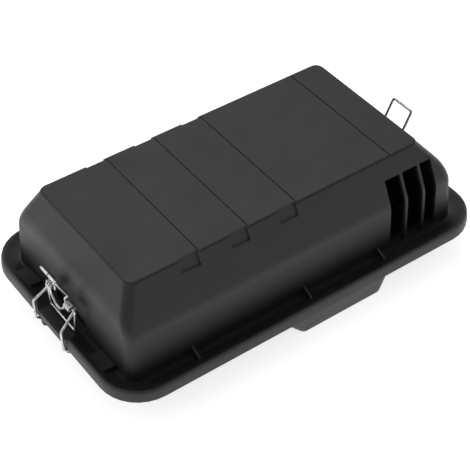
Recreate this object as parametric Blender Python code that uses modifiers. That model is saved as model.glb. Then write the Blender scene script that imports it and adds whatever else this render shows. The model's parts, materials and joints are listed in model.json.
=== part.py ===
"""Rodent bait station with a clamp-down lid and two wire draw latches.

The base is a shallow tray with a wide rolled rim.  The lid is a long dome that stands in the
rim's gutter, over a low upstand of the base.  A double-coil wire spring is hooked under the rim
at each short side and carries a wire lever, whose foot bar swings into a slot of the lid.
Inside are a liner tray, a baffle, a rod bracket, two bait rods and six bait blocks.
X runs along the station, Y across it, and Z up from the face that it rests on.
"""
import math

import bmesh
import bpy
from mathutils import Vector

MM = 0.001

# Overall sizes
RIM_LENGTH = 300 * MM
RIM_WIDTH = 180 * MM
RIM_CORNER = 30 * MM
TRAY_DEPTH = 20 * MM          # rest face to the rim's lower edge
RIM_HEIGHT = 8.5 * MM         # rim's lower edge to its crest
LID_HEIGHT = 69.6 * MM        # rim's lower edge to the lid's top

# Walls and clearances
WALL = 2.5 * MM
SEAM = 0.4 * MM               # between the lid's foot and the gutter
SLIP = 0.6 * MM               # round the base's upstand, inside the lid
SEAT = 0.3 * MM               # under and beside a piece that stands on another
HOLE_SLACK = 0.3 * MM         # round a wire in its hole

# Lid
GUTTER_END = 15.5 * MM        # rim's edge to the lid's foot, at each short side
GUTTER_SIDE = 17.5 * MM       # and at each long side
LID_CORNER = 7 * MM           # in plan, round the dome
SHOULDER_HEIGHT = 34.4 * MM   # from the gutter to the bend in the walls
WALL_DRAFT = 1.9 * MM         # how far the upright walls lean in below the shoulder
SIDE_LEAN = 15.6 * MM         # how far the long walls lean in above it
LEFT_LEAN = 12 * MM
END_BEND_RISE = 9 * MM        # the short walls bend this much higher than the long ones
NOSE_REACH = 24.2 * MM        # the top goes on past the nose step, to the nose's slope
NOSE_LEAN = 3.4 * MM          # the slope's foot to the upright wall
SOFTNESS = 3.5 * MM           # half height over which a bend in the walls is rounded
END_SOFTNESS = 5 * MM         # and over which the left wall's bend is
TOP_ROUND = 2.2 * MM

# Entrance slots in the long walls
SLOT_WIDTHS = (12.8 * MM, 13.1 * MM, 9.8 * MM)
WINDOW_INSET = 17.2 * MM      # lid's right end to the last slot
BAR_WIDTH = 2.3 * MM
SLOT_DROP = 13.6 * MM         # lid's top to the slots' upper ends

# Steps across the top and the finger pockets beside them
STEP_INSETS = (65.5 * MM, 103.4 * MM, 141.8 * MM)   # from the lid's left end
NOSE_STEP_INSET = 48.3 * MM                         # from its right end
GROOVE_WIDTH = 1.0 * MM
GROOVE_DEPTH = 0.7 * MM
POCKET_LENGTH = 15 * MM
POCKET_HEIGHT = 8.5 * MM
POCKET_DEPTH = 1.4 * MM

# Base
UPSTAND_HEIGHT = 8.5 * MM     # above the gutter
GUTTER_HEIGHT = 3.5 * MM      # above the rim's lower edge
TRAY_DRAFT = 3 * MM
RIB_PLACES = (-88 * MM, 2 * MM, 65 * MM)
RIB_WIDTH = 1.6 * MM
RIB_RISE = 6.5 * MM
LAND_INNER = 38 * MM
LAND_OUTER = 55 * MM
LAND_HEIGHT = 3.2 * MM
BULGE_INSET = 106.2 * MM      # lid's right end to the middle of a bulge
BULGE_LENGTH = 70.6 * MM
BULGE_FLARES = (19 * MM, 4.4 * MM)   # how much longer it is at its top, to the left and right
BULGE_CORNERS = (4 * MM, 8 * MM)
BULGE_REACH = 18.4 * MM       # out from the foot of the tray's wall
BULGE_DRAFT = 3.6 * MM
BULGE_EDGE = 1.5 * MM
BULGE_ROOF = 2 * MM           # its hollow to the rim's lower edge
SADDLE_WIDTH = 33 * MM        # where the rim is cut down under the latch
SADDLE_HEIGHT = 5 * MM

# Wire latches
WIRE = 2.0 * MM
PIVOT_INSET = 4 * MM          # from the rim's edge to the hook pins
PIVOT_DROP = 6 * MM           # below the rim's lower edge
ARM_FLARE = 2.9 * MM          # from a coil's outer end out to its arm
ARM_GAP = 0.6 * MM            # between an arm and the rim's edge
ARM_HEIGHT = 14.5 * MM
COIL_INSET = 9.8 * MM         # from the rim's edge to the coil axis
COIL_HEIGHT = 27 * MM         # above the rim's lower edge
COIL_SLACK = 0.4 * MM         # between a coil and the axle in it
COIL_TURNS = 2                # whole turns, besides the part from the arm to the bridge
COIL_START = -55              # degrees at which the arm runs into its coil
COIL_GAP = 0.2 * MM           # between two turns
COIL_INNER = 9.0 * MM         # middle of the latch to a coil's inner end
BRIDGE_DROP = 8.5 * MM
BRIDGE_FLAT = 4.8 * MM
BEND = 2.0 * MM               # radius of the wires' bends
ARM_KICK = 4.5 * MM
HOOK_END = 0.8 * MM           # how far a hook pin stands out of its lug
THUMB_WIDTH = 19.5 * MM
THUMB_RISE = 22.5 * MM
THUMB_REACH = 6.5 * MM
TAIL_GAP = 1.2 * MM           # between a coil's outer end and the lever's tail
FOOT_BAR_SPACING = 31 * MM
FOOT_BAR_DROP = 20 * MM
LUG_WIDTH = 3 * MM
LUG_WALL = 1.6 * MM
LATCH_SLOT_GAP = 1.5 * MM     # beside the foot bar in the lid's slot
LATCH_SLOT_HEIGHT = 10 * MM
LATCH_SILL = 1.8 * MM

# Inside
PLATE = 2.4 * MM
BAFFLE_GAP = 11 * MM          # baffle to the first slot
BAFFLE_TOP_GAP = 14.8 * MM    # its upper edge to the lid's top
BRACKET_INSET = 22.5 * MM     # lid's left end to the bracket
BRACKET_HEIGHT = 34 * MM
DOORWAY_WIDTH = 34 * MM
DOORWAY_HEIGHT = 32 * MM
ROD = 3 * MM
ROD_HEIGHT = 27 * MM
ROD_OVERHANG = 6 * MM
ROD_HOOK = 9 * MM
BLOCKS_PER_ROD = 3
BLOCK_LENGTH = 30 * MM
BLOCK_WIDTH = 30 * MM
BLOCK_HEIGHT = 26 * MM
BLOCK_SLACK = 2 * MM          # bore of a block over its rod
BLOCK_END_GAP = 3.1 * MM      # last block to the liner's wall
BLOCK_SIDE_GAP = 10 * MM      # outer side of a block to the liner's outer edge
LINER_END_GAP = 10 * MM       # liner to the baffle's and the bracket's middles
LINER_SIDE_GAP = 11.9 * MM    # liner to the tray's wall
LINER_HEIGHT = 13 * MM
LINER_WALL = 1.6 * MM
CARD_LENGTH = 90 * MM
CARD_WIDTH = 54 * MM
CARD_THICKNESS = 0.6 * MM
RAIL_WALL = 1.6 * MM
RAIL_LIP = 3 * MM
GUIDE_REACH = 3.5 * MM        # a plate's guide rib, in from the tray's wall
GUIDE_ROOT = 2.2 * MM         # and into it

# Heights and edges that follow from the sizes above
RIM_LOW = TRAY_DEPTH
LID_TOP = RIM_LOW + LID_HEIGHT
GUTTER = RIM_LOW + GUTTER_HEIGHT
LID_FOOT = GUTTER + SEAM
SHOULDER = GUTTER + SHOULDER_HEIGHT
FLOOR = WALL
END_BEND = SHOULDER + END_BEND_RISE
BULGE_TOP = GUTTER - WALL / 2
HALF_LENGTH = RIM_LENGTH / 2
HALF_WIDTH = RIM_WIDTH / 2
FOOT_X = HALF_LENGTH - GUTTER_END
FOOT_Y = HALF_WIDTH - GUTTER_SIDE
UPSTAND_X = FOOT_X - WALL - SLIP
UPSTAND_Y = FOOT_Y - WALL - SLIP
TRAY_WALL_Y = UPSTAND_Y - TRAY_DRAFT - WALL
WINDOW = sum(SLOT_WIDTHS) + (len(SLOT_WIDTHS) - 1) * BAR_WIDTH
SLOT_START = FOOT_X - WINDOW_INSET - WINDOW
SLOT_TOP = LID_TOP - SLOT_DROP
STEP_PLACES = [inset - FOOT_X for inset in STEP_INSETS]
NOSE_STEP_PLACE = FOOT_X - NOSE_STEP_INSET
BULGE_CENTRE = FOOT_X - BULGE_INSET
BAFFLE_PLACE = SLOT_START - BAFFLE_GAP
BAFFLE_HEIGHT = LID_TOP - BAFFLE_TOP_GAP - FLOOR - SEAT
BRACKET_PLACE = BRACKET_INSET - FOOT_X
LINER_CENTRE = (BAFFLE_PLACE + BRACKET_PLACE) / 2
LINER_LENGTH = BAFFLE_PLACE - BRACKET_PLACE - 2 * LINER_END_GAP
LINER_WIDTH = 2 * (TRAY_WALL_Y - LINER_SIDE_GAP)
ROD_SPACING = LINER_WIDTH - BLOCK_WIDTH - 2 * BLOCK_SIDE_GAP
BLOCK_BORE = ROD + BLOCK_SLACK
COIL_RADIUS = WIRE + COIL_SLACK
COIL_WRAP = COIL_TURNS + (180 - COIL_START) / 360
COIL_OUTER = COIL_INNER + COIL_WRAP * (WIRE + COIL_GAP)
HALF_ARMS = COIL_OUTER + ARM_FLARE
HALF_TAILS = COIL_OUTER + WIRE + TAIL_GAP
LATCH_SLOT_WIDTH = FOOT_BAR_SPACING + WIRE + 2 * LATCH_SLOT_GAP
CORNER_STEPS = 8


def collection(name):
    """A new collection in the scene."""
    made = bpy.data.collections.new(name)
    bpy.context.scene.collection.children.link(made)
    return made


def material(name, colour, roughness, metallic=0.0):
    """A Principled material of one colour."""
    made = bpy.data.materials.new(name)
    made.use_nodes = True
    shader = made.node_tree.nodes["Principled BSDF"]
    shader.inputs["Base Color"].default_value = (*colour, 1)
    shader.inputs["Roughness"].default_value = roughness
    shader.inputs["Metallic"].default_value = metallic
    return made


def rounded_ring(x_low, x_high, half_y, corners, z, y_mid=0.0):
    """Points of a rectangle with a round corner at each side: (left radius, right radius)."""
    left, right = corners
    centres = ((x_high - right, half_y - right, right, 0), (x_low + left, half_y - left, left, 90),
               (x_low + left, left - half_y, left, 180), (x_high - right, right - half_y, right, 270))
    ring = []
    for centre_x, centre_y, radius, start in centres:
        for step in range(CORNER_STEPS + 1):
            angle = math.radians(start + 90 * step / CORNER_STEPS)
            ring.append((centre_x + radius * math.cos(angle),
                         y_mid + centre_y + radius * math.sin(angle), z))
    return ring


def centred_ring(half_x, half_y, radius, z):
    """A ring round the station's middle."""
    return rounded_ring(-half_x, half_x, half_y, (radius, radius), z)


def add_loft(bm, rings, cap_start=True, cap_end=True):
    """Skin a row of rings that all have the same number of points."""
    rows = [[bm.verts.new(point) for point in ring] for ring in rings]
    for low, high in zip(rows, rows[1:]):
        for index in range(len(low)):
            after = (index + 1) % len(low)
            bm.faces.new((low[index], low[after], high[after], high[index]))
    if cap_start:
        bm.faces.new(list(reversed(rows[0])))
    if cap_end:
        bm.faces.new(rows[-1])


def add_box(bm, low, high):
    """A closed box between two corners."""
    size = [b - a for a, b in zip(low, high)]
    middle = [(a + b) / 2 for a, b in zip(low, high)]
    made = bmesh.ops.create_cube(bm, size=1.0)
    bmesh.ops.scale(bm, verts=made["verts"], vec=size)
    bmesh.ops.translate(bm, verts=made["verts"], vec=middle)


def add_rod(bm, start, end, radius, sides=24):
    """A closed cylinder between two points."""
    start = Vector(start)
    end = Vector(end)
    along = end - start
    turn = along.to_track_quat("Z", "Y").to_matrix().to_4x4()
    turn.translation = (start + end) / 2
    bmesh.ops.create_cone(bm, cap_ends=True, segments=sides, radius1=radius, radius2=radius,
                          depth=along.length, matrix=turn)


def add_prism(bm, outline, axis, low, high):
    """A flat outline pushed along an axis (0 for X, 1 for Y) from low to high."""
    def place(point, depth):
        first, height = point
        return (depth, first, height) if axis == 0 else (first, depth, height)
    near = [bm.verts.new(place(point, low)) for point in outline]
    far = [bm.verts.new(place(point, high)) for point in outline]
    bm.faces.new(near)
    bm.faces.new(list(reversed(far)))
    for index in range(len(near)):
        after = (index + 1) % len(near)
        bm.faces.new((near[after], near[index], far[index], far[after]))


def mesh_object(name, bm, group, finish=None, smooth=30):
    """Turn a bmesh into an object whose faces point out."""
    bmesh.ops.recalc_face_normals(bm, faces=bm.faces)
    mesh = bpy.data.meshes.new(name)
    bm.to_mesh(mesh)
    bm.free()
    mesh.shade_smooth()
    mesh.set_sharp_from_angle(angle=math.radians(smooth))
    made = bpy.data.objects.new(name, mesh)
    group.objects.link(made)
    if finish:
        mesh.materials.append(finish)
    return made


def tool_object(name, bm):
    """A cutter or an addition, which is only used by a Boolean."""
    made = mesh_object(name, bm, TOOLS)
    made.hide_render = True
    made.display_type = "WIRE"
    return made


def boolean(target, tool, operation):
    """Cut a tool out of an object, or join it on."""
    modifier = target.modifiers.new(f"{operation.lower()} {tool.name}", "BOOLEAN")
    modifier.operation = operation
    modifier.solver = "EXACT"
    modifier.object = tool


def rounded_path(corners, radius, steps=4):
    """A wire's route: straight runs between corners, with an arc at each bend."""
    points = [Vector(corners[0])]
    for before, corner, after in zip(corners, corners[1:], corners[2:]):
        corner = Vector(corner)
        back = Vector(before) - corner
        ahead = Vector(after) - corner
        half = back.angle(ahead) / 2
        reach = min(radius / math.tan(half), back.length * 0.48, ahead.length * 0.48)
        first = corner + back.normalized() * reach
        last = corner + ahead.normalized() * reach
        for step in range(steps + 1):
            part = step / steps
            points.append(first.lerp(corner, part).lerp(corner.lerp(last, part), part))
    points.append(Vector(corners[-1]))
    return points


def wire_object(name, points, thickness, finish, origin, parent=None):
    """A round wire along a list of points; its origin is on its joint axis."""
    curve = bpy.data.curves.new(name, "CURVE")
    curve.dimensions = "3D"
    curve.bevel_depth = thickness / 2
    curve.bevel_resolution = 2
    curve.use_fill_caps = True
    spline = curve.splines.new("POLY")
    spline.points.add(len(points) - 1)
    for slot, point in zip(spline.points, points):
        slot.co = (*(Vector(point) - origin), 1)
    curve.materials.append(finish)
    made = bpy.data.objects.new(name, curve)
    PARTS.objects.link(made)
    made.location = origin
    if parent:
        made.parent = parent
        made.location = origin - parent.location
    return made


def bent_profile(corners, height, reach):
    """Width at a height, for a wall of straight runs whose bends are rounded over reach."""
    def straight(z):
        for (z_low, low), (z_high, high) in zip(corners, corners[1:]):
            if z <= z_high:
                break
        return low + (high - low) * (z - z_low) / (z_high - z_low)
    samples = 9
    spread = [height + reach * (2 * index / (samples - 1) - 1) for index in range(samples)]
    return sum(straight(z) for z in spread) / samples


def side_wall(z):
    """Half the lid's width at a height."""
    return bent_profile(((LID_FOOT, FOOT_Y), (SHOULDER, FOOT_Y - WALL_DRAFT),
                         (LID_TOP, FOOT_Y - WALL_DRAFT - SIDE_LEAN)), z, SOFTNESS)


def left_wall(z):
    """How far the lid reaches to the left at a height."""
    return bent_profile(((LID_FOOT, FOOT_X), (END_BEND, FOOT_X - WALL_DRAFT),
                         (LID_TOP, FOOT_X - WALL_DRAFT - LEFT_LEAN)), z, END_SOFTNESS)


def right_wall(z):
    """How far the lid reaches to the right at a height: upright, then the nose's slope."""
    shoulder = FOOT_X - WALL_DRAFT
    return bent_profile(((LID_FOOT, FOOT_X), (SHOULDER, shoulder),
                         (END_BEND, shoulder - NOSE_LEAN),
                         (LID_TOP, NOSE_STEP_PLACE + NOSE_REACH)), z, SOFTNESS)


def build_lid():
    """The dome: an open skin with Solidify, then cut for the slots, grooves and pockets."""
    body = LID_TOP - TOP_ROUND
    levels = [LID_FOOT, (LID_FOOT + SHOULDER) / 2]
    levels += [SHOULDER + SOFTNESS * part for part in (-1, -0.5, 0, 0.5, 1)]
    levels += [END_BEND + END_SOFTNESS * part for part in (-0.7, -0.35, 0, 0.5, 1)]
    levels += [(END_BEND + END_SOFTNESS + body) / 2, body]
    rings = [rounded_ring(-left_wall(z), right_wall(z), side_wall(z), (LID_CORNER, LID_CORNER), z)
             for z in levels]
    for degrees in (30, 60, 90):
        swing = math.radians(degrees)
        inset = TOP_ROUND * (1 - math.cos(swing))
        z = body + TOP_ROUND * math.sin(swing)
        corner = LID_CORNER - inset
        rings.append(rounded_ring(inset - left_wall(body), right_wall(body) - inset,
                                  side_wall(body) - inset, (corner, corner), z))
    bm = bmesh.new()
    add_loft(bm, rings, cap_start=False)
    lid = mesh_object("lid_shell", bm, PARTS, BLACK_PLASTIC)
    skin = lid.modifiers.new("wall", "SOLIDIFY")
    skin.thickness = WALL
    skin.offset = -1
    skin.use_even_offset = True
    skin.use_rim = True
    boolean(lid, lid_cutters(), "DIFFERENCE")
    boolean(lid, card_rails(), "UNION")
    return lid


def lid_cutters():
    """Entrance slots, grooves across the top, finger pockets and the latch slots."""
    bm = bmesh.new()
    reach = FOOT_Y + 5 * MM
    depth = side_wall(SLOT_TOP) - 3 * WALL
    for side in (-1, 1):
        start = SLOT_START
        for width in SLOT_WIDTHS:
            near, far = sorted((side * depth, side * reach))
            add_box(bm, (start, near, LID_FOOT - SEAM / 2), (start + width, far, SLOT_TOP))
            start += width + BAR_WIDTH
        lean = SIDE_LEAN / (LID_TOP - SHOULDER)
        for place in STEP_PLACES:
            low = LID_TOP - POCKET_HEIGHT
            face_low = side_wall(low) - POCKET_DEPTH
            face_high = face_low - (POCKET_HEIGHT + 2 * MM) * lean
            outline = ((side * face_low, low), (side * (face_low + 5 * MM), low),
                       (side * (face_low + 5 * MM), LID_TOP + 2 * MM),
                       (side * face_high, LID_TOP + 2 * MM))
            add_prism(bm, outline, 0, place - POCKET_LENGTH, place - GROOVE_WIDTH)
        wall = side * FOOT_X
        low, high = sorted((wall - side * 2 * WALL, wall + side * WALL))
        add_box(bm, (low, -LATCH_SLOT_WIDTH / 2, LID_FOOT + LATCH_SILL),
                (high, LATCH_SLOT_WIDTH / 2, LID_FOOT + LATCH_SILL + LATCH_SLOT_HEIGHT))
    for place in (*STEP_PLACES, NOSE_STEP_PLACE):
        add_box(bm, (place - GROOVE_WIDTH / 2, -FOOT_Y, LID_TOP - GROOVE_DEPTH),
                (place + GROOVE_WIDTH / 2, FOOT_Y, LID_TOP + 1 * MM))
    return tool_object("lid cutters", bm)


def card_heights():
    """Lowest face of the card, and of the rails' lips under it."""
    card = LID_TOP - WALL - 3 * SEAT - CARD_THICKNESS
    return card, card - SEAT - RAIL_WALL


def card_rails():
    """Two rails under the lid's top that the service card slides into."""
    card, low = card_heights()
    bm = bmesh.new()
    for side in (-1, 1):
        inner = CARD_WIDTH / 2 + SEAT
        outer = inner + RAIL_WALL
        lip = inner - RAIL_LIP
        outline = [(side * y, z) for y, z in
                   ((outer, low), (outer, LID_TOP - WALL / 2), (inner, LID_TOP - WALL / 2),
                    (inner, card - SEAT), (lip, card - SEAT), (lip, low))]
        add_prism(bm, outline, 0, -CARD_LENGTH / 2, CARD_LENGTH / 2)
    return tool_object("card rails", bm)


def build_card():
    """The service card, held flat under the lid's top."""
    card, _ = card_heights()
    bm = bmesh.new()
    add_box(bm, (-CARD_LENGTH / 2, -CARD_WIDTH / 2, card),
            (CARD_LENGTH / 2, CARD_WIDTH / 2, card + CARD_THICKNESS))
    mesh_object("service_card", bm, PARTS, CARD)


def rim_ring(inset, height):
    """A ring inside the rim's outline, at a height above the rim's lower edge."""
    radius = max(RIM_CORNER - inset, 4 * MM)
    return centred_ring(HALF_LENGTH - inset, HALF_WIDTH - inset, radius, RIM_LOW + height)


def tray_ring(inset, z):
    """A ring inside the upstand's outline."""
    radius = max(LID_CORNER - WALL - SLIP - inset, 4 * MM)
    return centred_ring(UPSTAND_X - inset, UPSTAND_Y - inset, radius, z)


def build_base():
    """The tray and its rim in one skin: under the floor, round the rim and back to the floor."""
    under = GUTTER_HEIGHT - WALL
    arch = RIM_HEIGHT * 0.93 - WALL
    rings = [
        tray_ring(TRAY_DRAFT + 1.5 * MM, 0.0),
        tray_ring(TRAY_DRAFT, 1.5 * MM),
        tray_ring(-0.4 * MM, RIM_LOW + under),
        rim_ring(11.5 * MM, under),
        rim_ring(8.0 * MM, RIM_HEIGHT * 0.65 - WALL),
        rim_ring(4.6 * MM, arch),
        rim_ring(2.8 * MM, arch),
        rim_ring(2.4 * MM, 0.0),
        rim_ring(0.0, 0.0),
        rim_ring(0.2 * MM, RIM_HEIGHT * 0.6),
        rim_ring(0.7 * MM, RIM_HEIGHT * 0.87),
        rim_ring(1.4 * MM, RIM_HEIGHT * 0.98),
        rim_ring(2.2 * MM, RIM_HEIGHT),
        rim_ring(3.2 * MM, RIM_HEIGHT * 0.97),
        rim_ring(6.0 * MM, RIM_HEIGHT * 0.78),
        rim_ring(9.0 * MM, RIM_HEIGHT * 0.6),
        rim_ring(12.0 * MM, GUTTER_HEIGHT + 0.5 * MM),
        rim_ring(13.5 * MM, GUTTER_HEIGHT),
        tray_ring(0.0, GUTTER),
        tray_ring(0.2 * MM, GUTTER + UPSTAND_HEIGHT - 0.6 * MM),
        tray_ring(0.8 * MM, GUTTER + UPSTAND_HEIGHT),
        tray_ring(WALL - 0.4 * MM, GUTTER + UPSTAND_HEIGHT),
        tray_ring(WALL, GUTTER + UPSTAND_HEIGHT - 0.6 * MM),
        tray_ring(TRAY_DRAFT + WALL - 0.3 * MM, FLOOR + 1.5 * MM),
        tray_ring(TRAY_DRAFT + WALL + 1.2 * MM, FLOOR),
    ]
    bm = bmesh.new()
    add_loft(bm, rings)
    base = mesh_object("base_tray", bm, PARTS, BLACK_PLASTIC)
    boolean(base, base_additions(), "UNION")
    boolean(base, base_cutters(), "DIFFERENCE")
    boolean(base, base_fittings(), "UNION")
    boolean(base, base_hollows(), "DIFFERENCE")
    return base


def bulge_ring(side, inner, inset, z):
    """The outline of a side bulge at a height, from the tray's wall out, moved in by inset."""
    rise = z / BULGE_TOP
    left, right = BULGE_FLARES
    outer = UPSTAND_Y - TRAY_DRAFT + BULGE_REACH + BULGE_DRAFT * rise - inset
    corners = [radius - inset for radius in BULGE_CORNERS]
    return rounded_ring(BULGE_CENTRE - BULGE_LENGTH / 2 - left * rise + inset,
                        BULGE_CENTRE + BULGE_LENGTH / 2 + right * rise - inset,
                        (outer - inner) / 2, corners, z, side * (outer + inner) / 2)


def base_additions():
    """Gutter ribs, end lands, side bulges and a solid bed in the rim under each latch."""
    bm = bmesh.new()
    foot = FOOT_Y + SEAM
    below = GUTTER - 1 * MM
    for side in (-1, 1):
        for place in RIB_PLACES:
            outline = [(side * y, z) for y, z in
                       ((foot, below), (foot, GUTTER + RIB_RISE), (foot + 7.5 * MM, GUTTER + 3 * MM),
                        (foot + 10.5 * MM, below))]
            add_prism(bm, outline, 0, place - RIB_WIDTH / 2, place + RIB_WIDTH / 2)
        for across in (-1, 1):
            low_x, high_x = sorted((side * (FOOT_X + SEAM), side * (HALF_LENGTH - 5.5 * MM)))
            low_y, high_y = sorted((across * LAND_INNER, across * LAND_OUTER))
            add_box(bm, (low_x, low_y, below), (high_x, high_y, GUTTER + LAND_HEIGHT))
        inner = UPSTAND_Y - TRAY_DRAFT - WALL / 2
        add_loft(bm, [bulge_ring(side, inner, BULGE_EDGE, 0.0),
                      bulge_ring(side, inner, 0.0, BULGE_EDGE),
                      bulge_ring(side, inner, 0.0, BULGE_TOP)])
        low_x, high_x = sorted((side * (HALF_LENGTH - 8 * MM), side * (HALF_LENGTH - 1.5 * MM)))
        half = SADDLE_WIDTH / 2 + RIM_HEIGHT - SADDLE_HEIGHT + WALL
        top = RIM_LOW + SADDLE_HEIGHT + 0.5 * MM
        add_box(bm, (low_x, -half, RIM_LOW + SADDLE_HEIGHT - WALL), (high_x, half, top))
    return tool_object("base additions", bm)


def base_cutters():
    """Saddles in the rim, so that a latch can swing out, and gaps in the upstand at the slots."""
    bm = bmesh.new()
    top = RIM_LOW + SADDLE_HEIGHT
    for side in (-1, 1):
        low, high = sorted((side * (HALF_LENGTH - 11 * MM), side * (HALF_LENGTH + 2 * MM)))
        half = SADDLE_WIDTH / 2
        slope = RIM_HEIGHT - SADDLE_HEIGHT + 1 * MM
        outline = ((-half, top), (half, top), (half + slope, top + slope),
                   (-half - slope, top + slope))
        add_prism(bm, outline, 0, low, high)
        near, far = sorted((side * (UPSTAND_Y - 2 * WALL), side * (UPSTAND_Y + SEAM)))
        add_box(bm, (SLOT_START - 1 * MM, near, GUTTER + SEAM),
                (SLOT_START + WINDOW + 1 * MM, far, GUTTER + UPSTAND_HEIGHT + 1 * MM))
    return tool_object("base cutters", bm)


def base_fittings():
    """Hinge lugs under the rim, and pairs of upright ribs that the two plates stand between."""
    bm = bmesh.new()
    half = WIRE / 2 + HOLE_SLACK + LUG_WALL
    root = RIM_LOW + SADDLE_HEIGHT - WALL / 2
    for side in (-1, 1):
        pivot_x, pivot_z = pivot_point(side)
        for across in (-1, 1):
            outer = HALF_ARMS - WIRE / 2 - SEAT
            low_y, high_y = sorted((across * outer, across * (outer - LUG_WIDTH)))
            outline = ((pivot_x - half, pivot_z - half * 0.4),
                       (pivot_x - half * 0.4, pivot_z - half), (pivot_x + half * 0.4, pivot_z - half),
                       (pivot_x + half, pivot_z - half * 0.4), (pivot_x + half, root),
                       (pivot_x - half, root))
            add_prism(bm, outline, 1, low_y, high_y)
        for place in (BAFFLE_PLACE, BRACKET_PLACE):
            for hand in (-1, 1):
                near = place + hand * (PLATE / 2 + SEAT)
                low_x, high_x = sorted((near, near + hand * RIB_WIDTH))
                low_y, high_y = sorted((side * (TRAY_WALL_Y - GUIDE_REACH),
                                        side * (TRAY_WALL_Y + GUIDE_ROOT)))
                add_box(bm, (low_x, low_y, FLOOR - WALL / 2), (high_x, high_y, RIM_LOW - 2 * MM))
    return tool_object("base fittings", bm)


def pivot_point(side):
    """Where a latch is hooked under the rim: x and z of the pin line."""
    return side * (HALF_LENGTH - PIVOT_INSET), RIM_LOW - PIVOT_DROP


def coil_point(side):
    """The axis of a latch's coils: x and z."""
    return side * (HALF_LENGTH - COIL_INSET), RIM_LOW + COIL_HEIGHT


def base_hollows():
    """Pin holes in the hinge lugs, and the insides of the two bulges."""
    bm = bmesh.new()
    for side in (-1, 1):
        pivot_x, pivot_z = pivot_point(side)
        add_rod(bm, (pivot_x, -HALF_ARMS, pivot_z), (pivot_x, HALF_ARMS, pivot_z),
                WIRE / 2 + HOLE_SLACK)
        inner = UPSTAND_Y - TRAY_DRAFT - 2 * WALL - 2 * MM
        add_loft(bm, [bulge_ring(side, inner, WALL, FLOOR),
                      bulge_ring(side, inner, WALL, RIM_LOW - BULGE_ROOF)])
    return tool_object("base hollows", bm)


def spring_route(side):
    """One latch spring: hook pin, arm, coil, bridge between the coils, then the same again."""
    pivot_x, pivot_z = pivot_point(side)
    coil_x, coil_z = coil_point(side)
    arm_x = side * (HALF_LENGTH + ARM_GAP + WIRE / 2)
    pin_end = HALF_ARMS - WIRE / 2 - SEAT - LUG_WIDTH - HOOK_END

    def on_coil(part):
        angle = math.radians(COIL_START) + 2 * math.pi * COIL_WRAP * part
        return Vector((coil_x - side * COIL_RADIUS * math.cos(angle),
                       COIL_OUTER + (COIL_INNER - COIL_OUTER) * part,
                       coil_z + COIL_RADIUS * math.sin(angle)))
    arm = rounded_path([
        (pivot_x, pin_end, pivot_z),
        (pivot_x, HALF_ARMS, pivot_z),
        (arm_x, HALF_ARMS, pivot_z + ARM_KICK),
        (arm_x, HALF_ARMS, RIM_LOW + ARM_HEIGHT),
        on_coil(0),
    ], BEND)
    steps = round(12 * COIL_WRAP)
    coil = [on_coil(step / steps) for step in range(1, steps)]
    front = coil_x + side * COIL_RADIUS
    bridge = rounded_path([
        on_coil(1),
        (front, COIL_INNER - WIRE / 2, coil_z - BRIDGE_DROP / 3),
        (front, BRIDGE_FLAT / 2, coil_z - BRIDGE_DROP),
        (front, 0.0, coil_z - BRIDGE_DROP),
    ], BEND)
    half = arm + coil + bridge
    return half + mirrored(half)


def mirrored(points):
    """The other half of a route that ends on the station's middle line."""
    return [Vector((point.x, -point.y, point.z)) for point in reversed(points[:-1])]


def lever_route(side):
    """One latch lever, a ring: thumb loop, axles through the coils, tails and foot bar.

    The two ends of the wire meet in the middle of the thumb loop.
    """
    coil_x, coil_z = coil_point(side)
    leg_y = COIL_INNER - WIRE - SEAT * 2
    thumb_x = coil_x + side * THUMB_REACH
    thumb_z = coil_z + THUMB_RISE
    half = rounded_path([
        (thumb_x, SEAT, thumb_z),
        (thumb_x, THUMB_WIDTH / 2, thumb_z),
        (coil_x - side * WIRE / 2, THUMB_WIDTH / 2, coil_z + THUMB_RISE / 3),
        (coil_x, leg_y, coil_z + 1.5 * WIRE),
        (coil_x, leg_y, coil_z),
        (coil_x, HALF_TAILS, coil_z),
        (coil_x, FOOT_BAR_SPACING / 2, coil_z - FOOT_BAR_DROP),
        (coil_x, 0.0, coil_z - FOOT_BAR_DROP),
    ], BEND)
    return half + mirrored(half)


def build_latches():
    """Both latches, each a spring on the rim's lugs and a lever on the spring's coils."""
    for side, name in ((-1, "left"), (1, "right")):
        pivot_x, pivot_z = pivot_point(side)
        coil_x, coil_z = coil_point(side)
        spring = wire_object(f"latch_spring_{name}", spring_route(side), WIRE, STEEL,
                             Vector((pivot_x, 0, pivot_z)))
        wire_object(f"latch_lever_{name}", lever_route(side), WIRE, STEEL,
                    Vector((coil_x, 0, coil_z)), spring)


def inside_width(z):
    """Half the clear width inside the station at a height, for a plate that stands across it."""
    tray = TRAY_WALL_Y - 2 * SEAT
    return tray if z < SHOULDER - SOFTNESS else min(tray, side_wall(z) - 1.6 * WALL - SLIP)


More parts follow.
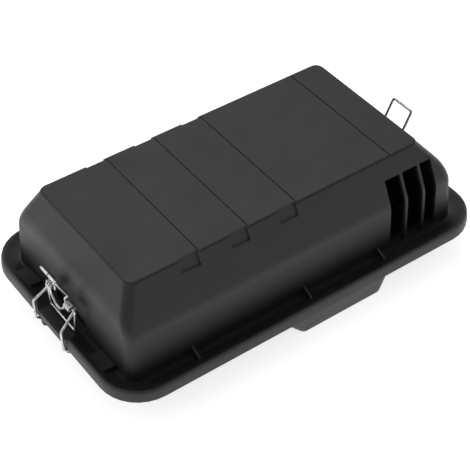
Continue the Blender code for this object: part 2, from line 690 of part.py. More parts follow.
def build_plate(name, place, height, open_slots, doorway):
    """A plate across the tray that carries the rods, with or without a doorway."""
    foot = FLOOR + SEAT
    top = foot + height
    cut = 2 * MM
    levels = [foot + cut, SHOULDER, (SHOULDER + top) / 2, top] if top > SHOULDER else [foot + cut, top]
    outline = [(cut - inside_width(foot), foot)] + [(-inside_width(z), z) for z in levels]
    outline += [(-y, z) for y, z in reversed(outline)]
    bm = bmesh.new()
    add_prism(bm, outline, 0, place - PLATE / 2, place + PLATE / 2)
    plate = mesh_object(name, bm, PARTS, GREY_PLASTIC)
    bm = bmesh.new()
    reach = PLATE
    for side in (-1, 1):
        centre = side * ROD_SPACING / 2
        radius = ROD / 2 + HOLE_SLACK
        last = 180 if open_slots else 345
        seat = [(centre - radius, top + 1 * MM)] if open_slots else []
        for degrees in range(0, last + 1, 15):
            angle = math.radians(180 + degrees)
            seat.append((centre + radius * math.cos(angle), ROD_HEIGHT + radius * math.sin(angle)))
        if open_slots:
            seat.append((centre + radius, top + 1 * MM))
        add_prism(bm, seat, 0, place - reach, place + reach)
    cutter = tool_object(f"{name} rod seats", bm)
    boolean(plate, cutter, "DIFFERENCE")
    if doorway:
        bm = bmesh.new()
        half = DOORWAY_WIDTH / 2
        arch = DOORWAY_HEIGHT - half
        outline = [(-half, -1 * MM)]
        for step in range(9):
            angle = math.pi - math.pi * step / 8
            outline.append((half * math.cos(angle), foot + arch + half * math.sin(angle)))
        outline.append((half, -1 * MM))
        add_prism(bm, outline, 0, place - reach, place + reach)
        boolean(plate, tool_object(f"{name} doorway", bm), "DIFFERENCE")
    return plate


def build_rods_and_blocks():
    """Two hooked rods, each with its bait blocks."""
    first = BRACKET_PLACE - PLATE / 2 - ROD_OVERHANG
    last = BAFFLE_PLACE + PLATE / 2 + ROD_OVERHANG
    outermost = LINER_LENGTH / 2 - LINER_WALL - BLOCK_END_GAP - BLOCK_LENGTH / 2
    for side, name in ((-1, "near"), (1, "far")):
        y = side * ROD_SPACING / 2
        route = rounded_path([(first, y, ROD_HEIGHT - ROD_HOOK), (first, y, ROD_HEIGHT),
                              (last, y, ROD_HEIGHT)], 3 * MM)
        wire_object(f"bait_rod_{name}", route, ROD, STEEL, Vector((0, y, ROD_HEIGHT)))
        for index in range(BLOCKS_PER_ROD):
            centre = LINER_CENTRE + outermost * (2 * index / (BLOCKS_PER_ROD - 1) - 1)
            build_block(f"bait_block_{name}_{index + 1}", centre, y)


def build_block(name, centre_x, centre_y):
    """A pressed bait block with gnawing ridges, hanging by its bore on the rod."""
    drop = (BLOCK_BORE - ROD) / 2 - SEAT
    centre_z = ROD_HEIGHT - drop
    half_y = BLOCK_WIDTH / 2
    half_z = BLOCK_HEIGHT / 2
    ridge = 1.4 * MM
    ridges = 4
    outline = []
    for index in range(2 * ridges + 1):
        part = index / (2 * ridges)
        dip = ridge if index % 2 else 0.0
        outline.append((-half_y + dip, -half_z + 2 * half_z * part))
    outline += [(-y, -z) for y, z in outline]
    bm = bmesh.new()
    outline = [(centre_y + y, centre_z + z) for y, z in outline]
    add_prism(bm, outline, 0, centre_x - BLOCK_LENGTH / 2, centre_x + BLOCK_LENGTH / 2)
    block = mesh_object(name, bm, PARTS, BAIT)
    edge = block.modifiers.new("edges", "BEVEL")
    edge.width = 0.6 * MM
    edge.segments = 1
    bm = bmesh.new()
    reach = BLOCK_LENGTH / 2 + 1 * MM
    add_rod(bm, (centre_x - reach, centre_y, centre_z), (centre_x + reach, centre_y, centre_z),
            BLOCK_BORE / 2, sides=16)
    boolean(block, tool_object(f"{name} bore", bm), "DIFFERENCE")


def build_liner():
    """The lift-out tray that catches crumbs under the blocks."""
    half_x = LINER_LENGTH / 2
    half_y = LINER_WIDTH / 2
    low = FLOOR + SEAT
    top = low + LINER_HEIGHT
    draft = 2 * MM

    def ring(inset, z):
        return rounded_ring(LINER_CENTRE - half_x + inset, LINER_CENTRE + half_x - inset,
                            half_y - inset, (10 * MM, 10 * MM), z)
    bm = bmesh.new()
    add_loft(bm, [ring(draft + 1 * MM, low), ring(draft, low + 1 * MM), ring(0.0, top),
                  ring(LINER_WALL, top), ring(draft + LINER_WALL, low + LINER_WALL + 1 * MM),
                  ring(draft + LINER_WALL + 1 * MM, low + LINER_WALL)])
    mesh_object("bait_liner", bm, PARTS, GREY_PLASTIC)


for old in list(bpy.data.objects):
    bpy.data.objects.remove(old, do_unlink=True)

PARTS = collection("bait_station")
TOOLS = collection("cutters")
BLACK_PLASTIC = material("black_plastic", (0.022, 0.021, 0.024), 0.55)
GREY_PLASTIC = material("grey_plastic", (0.05, 0.05, 0.055), 0.5)
STEEL = material("zinc_wire", (0.66, 0.69, 0.72), 0.28, 1.0)
BAIT = material("bait_wax", (0.02, 0.16, 0.13), 0.6)
CARD = material("card_stock", (0.8, 0.79, 0.74), 0.7)

build_base()
build_lid()
build_card()
build_latches()
build_plate("baffle_plate", BAFFLE_PLACE, BAFFLE_HEIGHT, False, True)
build_plate("rod_bracket", BRACKET_PLACE, BRACKET_HEIGHT, True, False)
build_rods_and_blocks()
build_liner()
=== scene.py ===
# %% [markdown]
# # Finishing a rodent bait station
#
# A bait station is two black plastic mouldings held together by two bright wire latches. The
# imported model already has every size right. This lesson gives it its finish: softened moulded
# edges, grained plastic, drawn wire with its zinc, and a studio to stand in.
#
# The imported model is loaded first, and its box is kept.

# %% Load the imported model
import json
import math

import bmesh
import bpy
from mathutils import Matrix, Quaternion, Vector


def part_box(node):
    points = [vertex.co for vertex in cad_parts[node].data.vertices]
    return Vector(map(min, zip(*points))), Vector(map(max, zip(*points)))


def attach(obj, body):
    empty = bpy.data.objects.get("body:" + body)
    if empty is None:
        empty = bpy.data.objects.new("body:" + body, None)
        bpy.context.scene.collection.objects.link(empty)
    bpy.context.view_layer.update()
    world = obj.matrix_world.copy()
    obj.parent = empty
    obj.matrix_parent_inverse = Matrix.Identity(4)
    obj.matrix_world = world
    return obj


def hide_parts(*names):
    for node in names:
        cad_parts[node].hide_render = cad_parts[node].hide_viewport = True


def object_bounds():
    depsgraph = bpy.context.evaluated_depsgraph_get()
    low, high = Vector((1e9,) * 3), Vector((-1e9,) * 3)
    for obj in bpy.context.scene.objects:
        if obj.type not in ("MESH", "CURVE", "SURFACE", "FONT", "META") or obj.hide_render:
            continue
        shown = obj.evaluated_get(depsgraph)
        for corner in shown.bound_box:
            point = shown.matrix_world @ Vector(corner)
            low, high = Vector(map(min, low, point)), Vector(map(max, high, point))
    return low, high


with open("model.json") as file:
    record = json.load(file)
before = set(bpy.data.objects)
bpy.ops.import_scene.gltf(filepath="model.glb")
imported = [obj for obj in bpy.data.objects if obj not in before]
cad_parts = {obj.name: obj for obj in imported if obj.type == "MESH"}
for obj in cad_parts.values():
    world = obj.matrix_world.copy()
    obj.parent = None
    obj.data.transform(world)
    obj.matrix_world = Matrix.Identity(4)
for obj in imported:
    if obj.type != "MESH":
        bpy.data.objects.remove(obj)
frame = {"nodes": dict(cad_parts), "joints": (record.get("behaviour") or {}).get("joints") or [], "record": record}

MM = 0.001
packed_box = [list(corner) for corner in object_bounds()]
print("packed size in mm:", [round((b - a) / MM, 1) for a, b in zip(*packed_box)])

# %% [markdown]
# ## Camera
#
# A product picture of a low box is taken from above with a long lens, so that its edges stay
# nearly parallel. The camera is placed by its bearing, its height and its distance from the
# station, and is turned a little about its own axis, as a hand-levelled camera is.

# %% Place the camera
LENS = 105.9                    # millimetres, on a 36 mm sensor
BEARING = -35.296               # degrees round the station
ELEVATION = 43.395              # degrees above the floor
DISTANCE = 925.0 * MM
ROLL = -0.585                   # degrees
AIM = Vector((-18.3, -22.6, 49.9)) * MM


def place_camera():
    """A camera that looks at AIM from the bearing, elevation and distance above."""
    bearing, elevation = math.radians(BEARING), math.radians(ELEVATION)
    back = Vector((math.sin(bearing) * math.cos(elevation),
                   -math.cos(bearing) * math.cos(elevation), math.sin(elevation)))
    data = bpy.data.cameras.new("camera")
    data.lens = LENS
    data.sensor_width = 36.0
    data.clip_start, data.clip_end = 0.05, 50.0
    camera = bpy.data.objects.new("camera", data)
    bpy.context.scene.collection.objects.link(camera)
    camera.location = AIM + back * DISTANCE
    camera.rotation_mode = "QUATERNION"
    level = (-back).to_track_quat("-Z", "Y")
    camera.rotation_quaternion = level @ Quaternion((0, 0, 1), math.radians(ROLL))
    bpy.context.scene.camera = camera
    return camera


print("camera at", [round(value, 3) for value in place_camera().location])

# %% [markdown]
# ## Building node groups
#
# Grain, worn edges and dust appear in more than one finish. Each is a node group with named
# sockets, so that a finish can place it and set its own values. Two small helpers keep the code
# short: one opens a group with its sockets, the other adds a Math node and connects it.


# %% Helpers for node trees
def open_group(name, inputs, outputs):
    """A new node group with float inputs (name: value) and outputs (name: socket type)."""
    group = bpy.data.node_groups.new(name, "ShaderNodeTree")
    for label, value in inputs.items():
        socket = group.interface.new_socket(label, in_out="INPUT", socket_type="NodeSocketFloat")
        socket.default_value = value
    for label, kind in outputs.items():
        group.interface.new_socket(label, in_out="OUTPUT", socket_type=kind)
    return group, group.nodes.new("NodeGroupInput"), group.nodes.new("NodeGroupOutput")


def connect(tree, source, target):
    """Feed a target socket from a socket, or set it to a plain value."""
    if isinstance(source, bpy.types.NodeSocket):
        tree.links.new(source, target)
    else:
        target.default_value = source


def maths(tree, operation, first, second=0.0):
    """A Math node; each operand is a socket or a number."""
    node = tree.nodes.new("ShaderNodeMath")
    node.operation = operation
    connect(tree, first, node.inputs[0])
    connect(tree, second, node.inputs[1])
    return node.outputs[0]


def remap(tree, value, low, high, start=0.0, end=1.0):
    """Stretch low..high of a value to start..end, and stop there."""
    node = tree.nodes.new("ShaderNodeMapRange")
    for socket, number in zip(node.inputs, (value, low, high, start, end)):
        connect(tree, number, socket)
    return node.outputs[0]


def noise(tree, scale, detail=2.0, roughness=0.5, stretch=None):
    """Noise in the station's own coordinates; scale is in features per metre."""
    place = tree.nodes.new("ShaderNodeTexCoord").outputs["Object"]
    if stretch:
        mapping = tree.nodes.new("ShaderNodeMapping")
        mapping.inputs["Scale"].default_value = stretch
        tree.links.new(place, mapping.inputs["Vector"])
        place = mapping.outputs[0]
    node = tree.nodes.new("ShaderNodeTexNoise")
    tree.links.new(place, node.inputs["Vector"])
    connect(tree, scale, node.inputs["Scale"])
    node.inputs["Detail"].default_value = detail
    node.inputs["Roughness"].default_value = roughness
    return node.outputs["Fac"]


# %% [markdown]
# ### Moulded grain
#
# A matt moulding takes its skin from the mould, which is spark-eroded: fine pits a few tenths of
# a millimetre wide, over a much slower waviness where the plastic shrank. Two noises of very
# different scale give both. The group puts out a height for bump and a slow mottle for colour.

# %% Group: moulded grain
FLOAT = "NodeSocketFloat"


def make_grain_group():
    """Height and mottle of a spark-eroded mould's skin."""
    group, given, result = open_group("moulded grain", {"Pit Size mm": 0.35, "Waviness": 0.3},
                                      {"Height": FLOAT, "Mottle": FLOAT})
    pits_per_metre = maths(group, "DIVIDE", 1 / MM, given.outputs["Pit Size mm"])
    pits = noise(group, pits_per_metre, detail=3.0, roughness=0.65)
    waves = noise(group, 70.0, detail=1.0)
    wavy = maths(group, "MULTIPLY", waves, given.outputs["Waviness"])
    group.links.new(maths(group, "ADD", pits, wavy), result.inputs["Height"])
    clouds = noise(group, 38.0, detail=5.0, roughness=0.6)
    group.links.new(remap(group, clouds, 0.3, 0.7), result.inputs["Mottle"])
    return group


GRAIN = make_grain_group()
print("grain sockets:", [item.name for item in GRAIN.interface.items_tree])

# %% [markdown]
# ### Worn edges
#
# Edges of a handled box are polished lighter than its faces. A Bevel node bends the normal near
# an edge, so the angle between it and the true normal marks the edges. A noise breaks the line up,
# because wear is never even.


# %% Group: worn edges
def make_wear_group():
    """A mask along the edges, broken up by noise."""
    group, given, result = open_group("worn edges", {"Width mm": 0.8, "Breaks per metre": 260.0},
                                      {"Mask": FLOAT})
    bevel = group.nodes.new("ShaderNodeBevel")
    bevel.samples = 4
    width = maths(group, "MULTIPLY", given.outputs["Width mm"], MM)
    group.links.new(width, bevel.inputs["Radius"])
    dot = group.nodes.new("ShaderNodeVectorMath")
    dot.operation = "DOT_PRODUCT"
    group.links.new(bevel.outputs["Normal"], dot.inputs[0])
    group.links.new(group.nodes.new("ShaderNodeNewGeometry").outputs["Normal"], dot.inputs[1])
    bent = maths(group, "SUBTRACT", 1.0, dot.outputs["Value"])
    edge = remap(group, bent, 0.015, 0.16)
    breaks = noise(group, given.outputs["Breaks per metre"], detail=3.0, roughness=0.7)
    broken = remap(group, breaks, 0.36, 0.62)
    group.links.new(maths(group, "MULTIPLY", edge, broken), result.inputs["Mask"])
    return group


WEAR = make_wear_group()
print("wear sockets:", [item.name for item in WEAR.interface.items_tree])

# %% [markdown]
# ### Settled dust
#
# Dust lies only on what faces up, in soft patches. The normal's Z gives the first, and a noise
# gives the second. It is kept very thin, as on a station taken new from its box.


# %% Group: settled dust
def make_dust_group():
    """A mask of thin dust on faces that look up."""
    group, given, result = open_group("settled dust", {"Amount": 0.2}, {"Mask": FLOAT})
    normal = group.nodes.new("ShaderNodeNewGeometry").outputs["Normal"]
    split = group.nodes.new("ShaderNodeSeparateXYZ")
    group.links.new(normal, split.inputs[0])
    facing_up = remap(group, split.outputs["Z"], 0.55, 0.98)
    specks = remap(group, noise(group, 1600.0, detail=3.0, roughness=0.7), 0.5, 0.75)
    patches = remap(group, noise(group, 26.0, detail=3.0), 0.35, 0.7, 0.35, 1.0)
    lying = maths(group, "MULTIPLY", maths(group, "MULTIPLY", specks, patches), facing_up)
    group.links.new(maths(group, "MULTIPLY", lying, given.outputs["Amount"]),
                    result.inputs["Mask"])
    return group


DUST = make_dust_group()
print("dust sockets:", [item.name for item in DUST.interface.items_tree])


# %% [markdown]
# ## Putting a finish together
#
# Every finish has the same skeleton: a Principled shader whose colour is mixed step by step, and
# a Bump node for its skin. Uniform values go straight on the shader, and only what changes over
# the surface is linked.


# %% Helpers for finishes
def new_finish(name, roughness, metallic=0.0, **uniform):
    """A Principled material; returns the material, its tree and its shader."""
    made = bpy.data.materials.new(name)
    made.use_nodes = True
    tree = made.node_tree
    shader = tree.nodes["Principled BSDF"]
    shader.inputs["Roughness"].default_value = roughness
    shader.inputs["Metallic"].default_value = metallic
    for label, value in uniform.items():
        shader.inputs[label.replace("_", " ")].default_value = value
    return made, tree, shader


def place_group(tree, group, **values):
    """Place a node group in a material with its own values."""
    node = tree.nodes.new("ShaderNodeGroup")
    node.node_tree = group
    for label, value in values.items():
        node.inputs[label.replace("_", " ")].default_value = value
    return node


def blend_colour(tree, mask, first, second):
    """Mix two colours (sockets or tuples) by a mask."""
    node = tree.nodes.new("ShaderNodeMix")
    node.data_type = "RGBA"
    factor, start, end = (next(socket for socket in node.inputs if socket.identifier == label)
                          for label in ("Factor_Float", "A_Color", "B_Color"))
    connect(tree, mask, factor)
    for value, socket in ((first, start), (second, end)):
        connect(tree, (*value, 1.0) if isinstance(value, tuple) else value, socket)
    return next(socket for socket in node.outputs if socket.identifier == "Result_Color")


def add_bump(tree, shader, height, distance, strength=1.0):
    """Bump the surface by a height; distance is how deep a height of 1 is, in metres."""
    bump = tree.nodes.new("ShaderNodeBump")
    bump.inputs["Distance"].default_value = distance
    bump.inputs["Strength"].default_value = strength
    tree.links.new(height, bump.inputs["Height"])
    tree.links.new(bump.outputs["Normal"], shader.inputs["Normal"])


# %% [markdown]
# ### Black moulded plastic
#
# The lid and the base are black polypropylene with a fine matt grain. It isn't one black: the
# mottle shifts it between a cool and a slightly warmer near-black, edges rub lighter, and a little
# dust lies on top. Its gloss is broad, because the grain scatters it, and it is shinier
# where the edges are rubbed.


# %% Finish: moulded plastic, used in black and in grey
def moulded_plastic(name, dark, light, rubbed, roughness, pit_size, dust):
    """Grained plastic that goes from dark to light in its mottle, and is rubbed at its edges."""
    made, tree, shader = new_finish(name, roughness, IOR=1.49)
    grain = place_group(tree, GRAIN, Pit_Size_mm=pit_size, Waviness=1.6)
    wear = place_group(tree, WEAR, Width_mm=0.9)
    settled = place_group(tree, DUST, Amount=dust)
    colour = blend_colour(tree, grain.outputs["Mottle"], dark, light)
    colour = blend_colour(tree, wear.outputs["Mask"], colour, rubbed)
    colour = blend_colour(tree, settled.outputs["Mask"], colour, DUST_COLOUR)
    tree.links.new(colour, shader.inputs["Base Color"])
    uneven = remap(tree, grain.outputs["Mottle"], 0.0, 1.0, roughness - 0.04, roughness + 0.05)
    polish = maths(tree, "MULTIPLY", wear.outputs["Mask"], 0.12)
    rough = maths(tree, "SUBTRACT", uneven, polish)
    dull = maths(tree, "MULTIPLY", settled.outputs["Mask"], 0.4)
    tree.links.new(maths(tree, "ADD", rough, dull), shader.inputs["Roughness"])
    add_bump(tree, shader, grain.outputs["Height"], 0.06 * MM, 0.7)
    return made


DUST_COLOUR = (0.20, 0.20, 0.20)
black_plastic = moulded_plastic("black_plastic", (0.0115, 0.0112, 0.0125), (0.0165, 0.0160, 0.0175),
                                (0.040, 0.039, 0.042), 0.48, 0.35, 0.05)
grey_plastic = moulded_plastic("grey_plastic", (0.040, 0.041, 0.045), (0.060, 0.060, 0.064),
                               (0.110, 0.110, 0.115), 0.42, 0.5, 0.25)
print("plastics:", black_plastic.name, grey_plastic.name)

# %% [markdown]
# ### Zinc-plated wire
#
# The latches and rods are drawn steel wire with a bright zinc plating. The metal is a cool grey.
# Its plating is cloudy at a few millimetres, with duller spots and fine scratches, and that
# unevenness is what makes it look plated and not chromed.


# %% Finish: zinc-plated wire
def zinc_plating():
    """Bright, slightly cloudy zinc."""
    made, tree, shader = new_finish("zinc_wire", 0.28, metallic=1.0)
    clouds = remap(tree, noise(tree, 420.0, detail=3.0), 0.32, 0.68)
    spots = remap(tree, noise(tree, 1500.0, detail=2.0), 0.58, 0.72)
    colour = blend_colour(tree, clouds, (0.42, 0.43, 0.45), (0.68, 0.69, 0.71))
    colour = blend_colour(tree, maths(tree, "MULTIPLY", spots, 0.55), colour, (0.16, 0.165, 0.175))
    tree.links.new(colour, shader.inputs["Base Color"])
    dull = maths(tree, "MULTIPLY", spots, 0.22)
    rough = maths(tree, "ADD", remap(tree, clouds, 0.0, 1.0, 0.34, 0.20), dull)
    tree.links.new(rough, shader.inputs["Roughness"])
    scratches = noise(tree, 2600.0, detail=2.0, stretch=(1.0, 1.0, 0.25))
    add_bump(tree, shader, scratches, 0.02 * MM, 0.5)
    return made


zinc_wire = zinc_plating()
print("metal:", zinc_wire.name)

# %% [markdown]
# ### Bait and card
#
# Bait blocks are grain pressed in blue-green wax: waxy, so a little light goes into them, with
# paler crumbs of cereal. The service card is blank coated board, off-white, with a faint fibre.


# %% Finishes: bait wax and card
def pressed_wax():
    """Blue-green wax with crumbs of cereal in it."""
    made, tree, shader = new_finish("bait_wax", 0.5, Subsurface_Weight=0.15,
                                    Subsurface_Scale=1.5 * MM)
    crumbs = remap(tree, noise(tree, 520.0, detail=2.0), 0.56, 0.66)
    shade = remap(tree, noise(tree, 90.0, detail=3.0), 0.3, 0.7)
    wax = blend_colour(tree, shade, (0.010, 0.120, 0.105), (0.022, 0.190, 0.150))
    colour = blend_colour(tree, crumbs, wax, (0.240, 0.250, 0.120))
    tree.links.new(colour, shader.inputs["Base Color"])
    tree.links.new(remap(tree, crumbs, 0.0, 1.0, 0.42, 0.75), shader.inputs["Roughness"])
    add_bump(tree, shader, noise(tree, 520.0, detail=3.0), 0.3 * MM, 0.8)
    return made


def coated_card():
    """Off-white board."""
    made, tree, shader = new_finish("card_stock", 0.6)
    fibre = noise(tree, 700.0, detail=3.0, stretch=(1.0, 0.3, 1.0))
    tree.links.new(blend_colour(tree, fibre, (0.70, 0.69, 0.64), (0.84, 0.83, 0.79)),
                   shader.inputs["Base Color"])
    tree.links.new(remap(tree, fibre, 0.3, 0.7, 0.5, 0.7), shader.inputs["Roughness"])
    add_bump(tree, shader, fibre, 0.02 * MM, 0.6)
    return made


FINISHES = {"black_plastic": black_plastic, "grey_plastic": grey_plastic,
            "zinc_wire": zinc_wire, "bait_wax": pressed_wax(), "card_stock": coated_card()}
print("finishes:", sorted(FINISHES))

# %% [markdown]
# ## Mouldings with softened edges
#
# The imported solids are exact, with knife-sharp edges and triangles. No moulding is sharp: the
# mould's own edges are rounded by a few tenths. A copy of each solid is welded, its flat faces are
# joined into whole faces, and a Bevel modifier rounds what is left as an edge. Weighted normals
# then keep the large faces flat, so that only the rounded edges turn the light. The copy stands
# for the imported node, takes its finish from the record and moves with its body.

# %% Soften and finish the moulded pieces
SLOTS = {entry["node"]: entry["material_slot"] for entry in frame["record"]["subparts"]}
BODY_OF = {node: body for body, nodes in frame["record"]["behaviour"]["bodies"].items()
           for node in nodes}
EDGE_ROUND = {"lid_shell": 0.45 * MM, "base_tray": 0.4 * MM, "service_card": 0.1 * MM}
PLAIN_ROUND = 0.35 * MM
WELD = 0.002 * MM
FLAT_ANGLE = 0.3                # degrees; faces that turn less are joined into one
EDGE_ANGLE = 38.0               # degrees; edges that turn more are rounded


def stand_for(piece, node):
    """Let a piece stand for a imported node: same body, same slot, same finish."""
    piece.data.materials.clear()
    piece.data.materials.append(FINISHES[SLOTS[node]])
    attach(piece, BODY_OF[node])
    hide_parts(node)
    return piece


def soften(node):
    """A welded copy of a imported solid, with its edges rounded."""
    bm = bmesh.new()
    bm.from_mesh(frame["nodes"][node].data)
    bmesh.ops.remove_doubles(bm, verts=bm.verts, dist=WELD)
    bmesh.ops.dissolve_limit(bm, angle_limit=math.radians(FLAT_ANGLE), verts=bm.verts,
                             edges=bm.edges)
    mesh = bpy.data.meshes.new(f"{node}_soft")
    bm.to_mesh(mesh)
    bm.free()
    piece = bpy.data.objects.new(f"{node}_soft", mesh)
    bpy.context.scene.collection.objects.link(piece)
    mesh.shade_smooth()
    mesh.set_sharp_from_angle(angle=math.radians(EDGE_ANGLE))
    rounding = piece.modifiers.new("moulded edges", "BEVEL")
    rounding.width = EDGE_ROUND.get(node, PLAIN_ROUND)
    rounding.segments = 2
    rounding.limit_method = "ANGLE"
    rounding.angle_limit = math.radians(EDGE_ANGLE)
    rounding.use_clamp_overlap = True
    even = piece.modifiers.new("flat faces stay flat", "WEIGHTED_NORMAL")
    even.keep_sharp = True
    even.weight = 100
    return stand_for(piece, node)


moulded = [soften(node) for node, slot in SLOTS.items() if not node.startswith("latch_")]
for piece in moulded:
    print(f"{piece.name:24s} {len(piece.data.polygons):5d} faces before rounding")

# %% [markdown]
# ## Wire latches
#
# Each latch is two bent wires. The spring is hooked under the rim, rises outside it, winds a coil
# at each side and joins the two coils with a V. The lever is a ring: a thumb loop, two axles
# inside the coils, two tails and a foot bar. A wire is a route with an arc at each bend, swept by a
# round section, so both are curves with a bevel. The route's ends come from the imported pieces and
# from the joints that they turn on, and only the bends are named here.

# %% Sizes of the wires
WIRE = 2.0 * MM
BEND = 2.0 * MM
BEND_STEPS = 10
BEND_SHARE = 0.48               # the most of a straight run that one bend may take
COIL_RADIUS = 2.4 * MM
COIL_START = -55.0              # degrees at which the arm runs into its coil
COIL_TURNS = 2                  # whole turns, besides the part from the arm to the bridge
COIL_WRAP = COIL_TURNS + (180 - COIL_START) / 360
COIL_STEPS = 30                 # in one turn
COIL_INNER = 9.0 * MM
COIL_PITCH = 2.2 * MM
COIL_OUTER = COIL_INNER + COIL_WRAP * COIL_PITCH
ARM_KICK = 4.5 * MM
ARM_TOP = 20.5 * MM             # pin line to the bend at the top of an arm
PIN_LENGTH = 5.1 * MM           # from the outside of an arm to the end of its hook
BRIDGE_DROP = 8.5 * MM
BRIDGE_FLAT = 4.8 * MM
THUMB_WIDTH = 19.5 * MM
FOOT_BAR = 31.0 * MM
LEG_INSET = 2.6 * MM            # a coil's inner end to the lever's leg
RING_GAP = 0.3 * MM


def rounded_route(corners, radius=BEND):
    """Straight runs between corners, with a quarter-curve at each bend."""
    points = [Vector(corners[0])]
    for before, corner, after in zip(corners, corners[1:], corners[2:]):
        corner = Vector(corner)
        back, ahead = Vector(before) - corner, Vector(after) - corner
        reach = min(radius / math.tan(back.angle(ahead) / 2), back.length * BEND_SHARE,
                    ahead.length * BEND_SHARE)
        first, last = corner + back.normalized() * reach, corner + ahead.normalized() * reach
        for step in range(BEND_STEPS + 1):
            part = step / BEND_STEPS
            points.append(first.lerp(corner, part).lerp(corner.lerp(last, part), part))
    return points + [Vector(corners[-1])]


def both_halves(points):
    """A route from one end to the middle line, and back down the other side."""
    return points + [Vector((point.x, -point.y, point.z)) for point in reversed(points[:-1])]


# %% [markdown]
# ### The spring
#
# Its coil is a helix round the lever's axle, computed from its angle, because a coil drawn by hand
# never closes evenly. The V between the coils hangs outside the axle.


# %% Route of a latch spring
def joint_line(name):
    """x and z of a joint's axis."""
    place = next(joint for joint in frame["joints"] if joint["name"] == name)["pos_m"]
    return place[0], place[2]


def spring_route(name, side):
    """Hook pin, arm, coil and bridge of the spring at one end of the station."""
    pin_x, pin_z = joint_line(f"latch_swing_{name}")
    coil_x, coil_z = joint_line(f"lever_turn_{name}")
    low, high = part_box(f"latch_spring_{name}")
    arm_x = (low.x if side < 0 else high.x) - side * WIRE / 2
    arm_y = high.y - WIRE / 2

    def on_coil(part):
        angle = math.radians(COIL_START) + 2 * math.pi * COIL_WRAP * part
        return Vector((coil_x - side * COIL_RADIUS * math.cos(angle),
                       COIL_OUTER + (COIL_INNER - COIL_OUTER) * part,
                       coil_z + COIL_RADIUS * math.sin(angle)))
    arm = rounded_route([(pin_x, arm_y - PIN_LENGTH, pin_z), (pin_x, arm_y, pin_z),
                         (arm_x, arm_y, pin_z + ARM_KICK), (arm_x, arm_y, pin_z + ARM_TOP),
                         on_coil(0)])
    steps = round(COIL_STEPS * COIL_WRAP)
    coil = [on_coil(step / steps) for step in range(1, steps)]
    front = coil_x + side * COIL_RADIUS
    bridge = rounded_route([on_coil(1), (front, COIL_INNER - WIRE / 2, coil_z - BRIDGE_DROP / 3),
                            (front, BRIDGE_FLAT / 2, coil_z - BRIDGE_DROP),
                            (front, 0.0, coil_z - BRIDGE_DROP)])
    return both_halves(arm + coil + bridge)


# %% [markdown]
# ### The lever
#
# The lever starts and ends in the middle of its thumb loop, where the wire's two ends face each
# other. Its loop leans outwards, so that a finger gets behind it.


# %% Route of a latch lever
def lever_route(name, side):
    """Thumb loop, axle, tail and foot bar of the lever at one end of the station."""
    coil_x, coil_z = joint_line(f"lever_turn_{name}")
    low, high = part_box(f"latch_lever_{name}")
    thumb_x = (low.x if side < 0 else high.x) - side * WIRE / 2
    thumb_z, foot_z = high.z - WIRE / 2, low.z + WIRE / 2
    tail_y = high.y - WIRE / 2
    leg_y = COIL_INNER - LEG_INSET
    loop_bend = coil_z + (thumb_z - coil_z) / 3
    return both_halves(rounded_route([
        (thumb_x, RING_GAP, thumb_z), (thumb_x, THUMB_WIDTH / 2, thumb_z),
        (coil_x - side * WIRE / 2, THUMB_WIDTH / 2, loop_bend),
        (coil_x, leg_y, coil_z + 1.5 * WIRE), (coil_x, leg_y, coil_z),
        (coil_x, tail_y, coil_z), (coil_x, FOOT_BAR / 2, foot_z), (coil_x, 0.0, foot_z)]))


# %% [markdown]
# ### Sweeping the wire
#
# A poly curve with a round bevel and filled ends is the whole wire. Its ends stay sharp, as cut
# wire is.


# %% Sweep both latches
def sweep(route, node):
    """A round wire along a route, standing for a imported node."""
    curve = bpy.data.curves.new(f"{node}_wire", "CURVE")
    curve.dimensions = "3D"
    curve.bevel_depth = WIRE / 2
    curve.bevel_resolution = 6
    curve.use_fill_caps = True
    spline = curve.splines.new("POLY")
    spline.points.add(len(route) - 1)
    for point, place in zip(spline.points, route):
        point.co = (*place, 1.0)
    spline.use_smooth = True
    piece = bpy.data.objects.new(f"{node}_wire", curve)
    bpy.context.scene.collection.objects.link(piece)
    return stand_for(piece, node)


for side, name in ((-1, "left"), (1, "right")):
    for make_route, kind in ((spring_route, "spring"), (lever_route, "lever")):
        node = f"latch_{kind}_{name}"
        wire = sweep(make_route(name, side), node)
        print(f"{wire.name}: {len(wire.data.splines[0].points)} points")

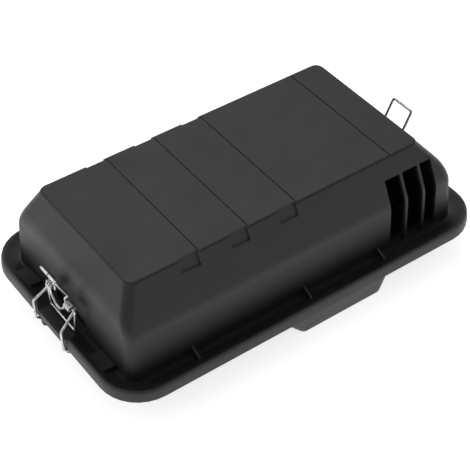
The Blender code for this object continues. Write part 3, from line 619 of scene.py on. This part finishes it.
# %% [markdown]
# ## Studio
#
# Black plastic shows its form by what it reflects. Its upright walls reflect the floor, so the
# paper glows a little. A soft light low at the back left gives the left end and the rim their
# sheen, a second above the back right lies on the top, and a dim even room fills the rest. The
# near wall gets no light of its own, so it stays the darkest side.

# %% Floor, room and lights
FLOOR_HALF = 4.0
FLOOR_DROP = 0.2 * MM
ROOM = 0.36
PAPER_GLOW = 0.75
SOFT_LIGHTS = (("key", (-1.3, 1.0, 0.75), 1.0, 4.5), ("top", (0.45, 0.9, 1.6), 1.4, 8.5))


def pale_floor():
    """A large pale sheet, a hair below the station's rest face."""
    bm = bmesh.new()
    bmesh.ops.create_grid(bm, x_segments=8, y_segments=8, size=FLOOR_HALF)
    mesh = bpy.data.meshes.new("floor")
    bm.to_mesh(mesh)
    bm.free()
    floor = bpy.data.objects.new("floor", mesh)
    bpy.context.scene.collection.objects.link(floor)
    floor.location.z = packed_box[0][2] - FLOOR_DROP
    finish, tree, shader = new_finish("floor_paper", 0.9)
    tree.links.new(blend_colour(tree, noise(tree, 3.0), (0.90, 0.90, 0.90), (0.92, 0.92, 0.92)),
                   shader.inputs["Base Color"])
    shader.inputs["Emission Color"].default_value = (1.0, 1.0, 1.0, 1.0)
    shader.inputs["Emission Strength"].default_value = PAPER_GLOW
    mesh.materials.append(finish)
    return floor


def soft_light(name, place, size, power):
    """A square area light that faces the station."""
    data = bpy.data.lights.new(name, "AREA")
    data.size, data.energy = size, power
    light = bpy.data.objects.new(name, data)
    bpy.context.scene.collection.objects.link(light)
    light.location = place
    light.rotation_mode = "QUATERNION"
    light.rotation_quaternion = (AIM - Vector(place)).to_track_quat("-Z", "Y")


pale_floor()
for light in SOFT_LIGHTS:
    soft_light(*light)
room = bpy.data.worlds.new("room")
room.use_nodes = True
room.node_tree.nodes["Background"].inputs["Color"].default_value = (1.0, 1.0, 1.0, 1.0)
room.node_tree.nodes["Background"].inputs["Strength"].default_value = ROOM
bpy.context.scene.world = room
bpy.context.scene.view_settings.view_transform = "Standard"
print("lights:", [light[0] for light in SOFT_LIGHTS])
